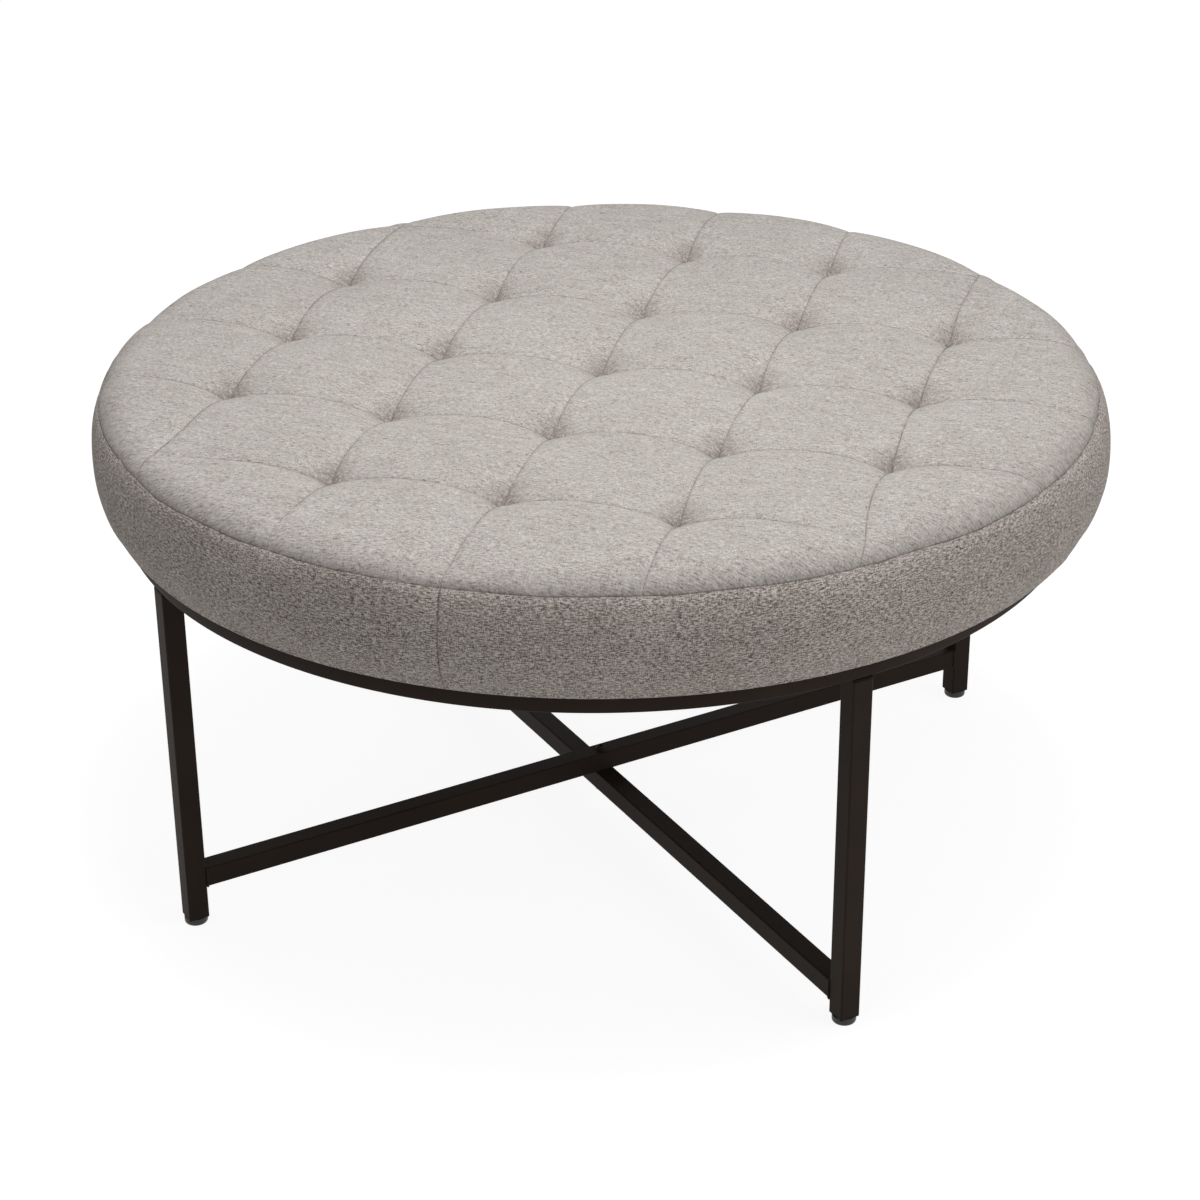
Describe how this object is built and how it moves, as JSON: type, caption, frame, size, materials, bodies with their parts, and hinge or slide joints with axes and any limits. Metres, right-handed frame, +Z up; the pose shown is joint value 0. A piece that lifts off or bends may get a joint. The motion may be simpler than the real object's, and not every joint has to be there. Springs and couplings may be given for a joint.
{
  "type": "round tufted ottoman",
  "caption": "Low round ottoman with a grid-tufted fabric cushion on an open frame of dark square steel tube.",
  "frame": {"origin": "on the floor, straight below the middle of the ring", "axes": "+Z up; the tuft rows run along X and Y, the legs stand on the diagonals between them, and -Y is the front"},
  "size_m": [0.9059, 0.906, 0.4569],
  "materials": {
    "cover_cloth": "woven heather cloth, matt",
    "fibre": "loose white fibre",
    "foam": "open-cell foam",
    "plywood": "raw plywood",
    "dust_cloth": "thin black non-woven cloth",
    "twine": "waxed twisted twine",
    "toggle_plastic": "moulded nylon",
    "frame_paint": "satin powder coat, dark bronze black",
    "zinc_steel": "bright zinc plate",
    "insert_plastic": "moulded nylon",
    "glide_plastic": "moulded nylon, satin"
  },
  "bodies": {
    "frame_and_cushion": {"top_panel": "cover_cloth", "boxing_left": "cover_cloth", "boxing_right": "cover_cloth", "side_fibre": "fibre", "foam_core": "foam", "seat_board": "plywood", "dust_cover": "dust_cloth", "tuft_twines": "twine", "tuft_toggles": "toggle_plastic", "tee_nuts": "zinc_steel", "seat_ring": "frame_paint", "tab_screws": "zinc_steel", "leg_bolts": "zinc_steel", "stretcher_upper": "frame_paint", "stretcher_lower": "frame_paint", "centre_bolt": "frame_paint", "centre_nut": "zinc_steel", "mounting_tab_front_right": "frame_paint", "leg_front_right": "frame_paint", "leg_nut_plate_front_right": "zinc_steel", "leg_insert_front_right": "insert_plastic", "mounting_tab_front_left": "frame_paint", "leg_front_left": "frame_paint", "leg_nut_plate_front_left": "zinc_steel", "leg_insert_front_left": "insert_plastic", "mounting_tab_back_right": "frame_paint", "leg_back_right": "frame_paint", "leg_nut_plate_back_right": "zinc_steel", "leg_insert_back_right": "insert_plastic", "mounting_tab_back_left": "frame_paint", "leg_back_left": "frame_paint", "leg_nut_plate_back_left": "zinc_steel", "leg_insert_back_left": "insert_plastic"},
    "glide_front_right": {"glide_pad_front_right": "glide_plastic", "glide_stem_front_right": "zinc_steel"},
    "glide_front_left": {"glide_pad_front_left": "glide_plastic", "glide_stem_front_left": "zinc_steel"},
    "glide_back_right": {"glide_pad_back_right": "glide_plastic", "glide_stem_back_right": "zinc_steel"},
    "glide_back_left": {"glide_pad_back_left": "glide_plastic", "glide_stem_back_left": "zinc_steel"}
  },
  "joints": [
    {"name": "glide_travel_front_right", "type": "slide", "parent": "frame_and_cushion", "child": "glide_front_right", "axis": [0, 0, -1], "range_m": [0, 0.008]},
    {"name": "glide_travel_front_left", "type": "slide", "parent": "frame_and_cushion", "child": "glide_front_left", "axis": [0, 0, -1], "range_m": [0, 0.008]},
    {"name": "glide_travel_back_right", "type": "slide", "parent": "frame_and_cushion", "child": "glide_back_right", "axis": [0, 0, -1], "range_m": [0, 0.008]},
    {"name": "glide_travel_back_left", "type": "slide", "parent": "frame_and_cushion", "child": "glide_back_left", "axis": [0, 0, -1], "range_m": [0, 0.008]}
  ]
}
